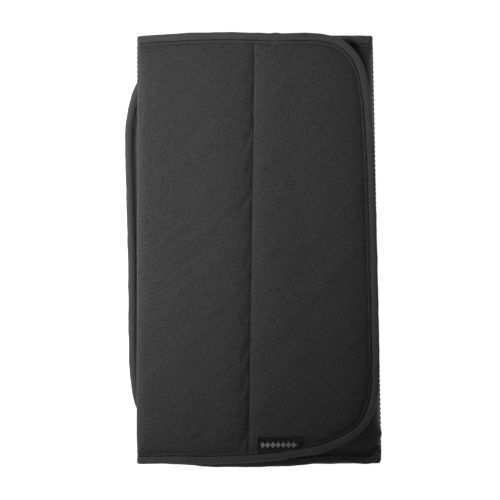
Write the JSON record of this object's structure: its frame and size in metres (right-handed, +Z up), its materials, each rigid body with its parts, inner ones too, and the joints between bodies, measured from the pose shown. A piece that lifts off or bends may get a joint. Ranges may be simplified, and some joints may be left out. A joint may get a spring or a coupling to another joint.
{
  "type": "folding changing mat",
  "caption": "Padded, quilted and bound cloth mat, folded in a Z so that its rounded tips lie at opposite sides, with a woven label in the flap's binding.",
  "frame": {"origin": "middle of the folded mat's footprint, on the surface it lies on", "axes": "+X across the folds towards the flap's tip, +Y along the folds, +Z up through the layers"},
  "size_m": [0.2455, 0.413, 0.0256],
  "materials": {
    "outer_cloth": "matt woven polyester",
    "lining_cloth": "smooth coated polyester",
    "wadding": "bonded polyester fibre",
    "binding_tape": "folded woven tape",
    "thread": "polyester thread",
    "label_weave": "satin damask weave with a grey row of lozenges"
  },
  "bodies": {
    "base_panel": {"base_outer_cover": "outer_cloth", "base_lining": "lining_cloth", "base_wadding_inner": "wadding", "base_wadding_tip": "wadding", "base_binding": "binding_tape", "base_binding_thread": "thread", "base_seam_thread": "thread", "right_fold_thread": "thread"},
    "middle_panel": {"middle_outer_cover": "outer_cloth", "middle_lining": "lining_cloth", "middle_wadding_left": "wadding", "middle_wadding_right": "wadding", "middle_binding_far": "binding_tape", "middle_binding_near": "binding_tape", "middle_binding_thread": "thread", "middle_seam_thread": "thread", "left_fold_thread": "thread"},
    "flap": {"flap_inner_cover": "outer_cloth", "flap_inner_lining": "lining_cloth", "flap_inner_wadding": "wadding", "flap_inner_binding_far": "binding_tape", "flap_inner_binding_near": "binding_tape", "flap_inner_binding_thread": "thread", "flap_seam_thread": "thread"},
    "flap_tip": {"flap_tip_cover": "outer_cloth", "flap_tip_lining": "lining_cloth", "flap_tip_wadding": "wadding", "flap_tip_binding": "binding_tape", "flap_tip_binding_thread": "thread", "flap_binding_join": "binding_tape", "label": "label_weave"}
  },
  "joints": [
    {"name": "right_fold", "type": "hinge", "parent": "base_panel", "child": "middle_panel", "pos_m": [0.1185, 0, 0.0082], "axis": [-0.0209, 0.9998, 0], "range_deg": [0, 180]},
    {"name": "left_fold", "type": "hinge", "parent": "middle_panel", "child": "flap", "pos_m": [-0.1115, 0, 0.0166], "axis": [0, -1, 0], "range_deg": [0, 180]},
    {"name": "flap_seam", "type": "hinge", "parent": "flap", "child": "flap_tip", "pos_m": [-0.0025, 0, 0.0208], "axis": [-0.0148, -0.9999, 0], "range_deg": [0, 115]}
  ]
}
